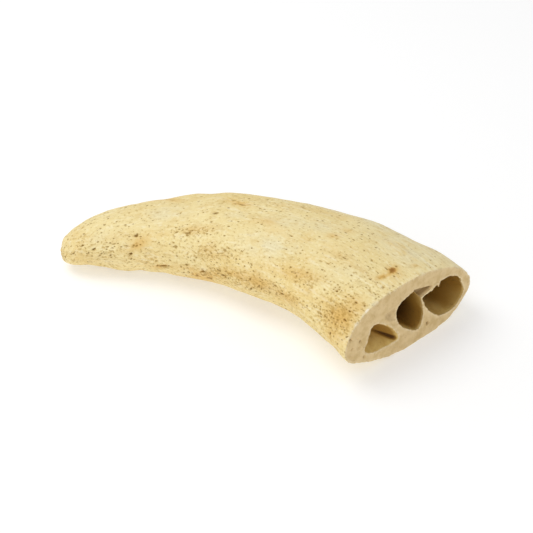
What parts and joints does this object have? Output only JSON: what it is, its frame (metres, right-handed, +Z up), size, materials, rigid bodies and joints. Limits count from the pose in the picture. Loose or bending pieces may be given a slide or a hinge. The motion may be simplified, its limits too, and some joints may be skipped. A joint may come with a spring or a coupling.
{
  "type": "buffalo horn core",
  "caption": "Curved, blunt-tipped horn core of porous bone, sawn off straight to show blind chambers, lying on its belly.",
  "frame": {"origin": "middle of the bounding box's footprint, on the surface that the bone lies on", "axes": "+X is the outward normal of the saw cut, the tip curves round towards -Y, +Z is up"},
  "size_m": [0.142, 0.1126, 0.0388],
  "materials": {
    "bone": "matte"
  },
  "bodies": {
    "root": {"horn_core": "bone"}
  },
  "joints": []
}
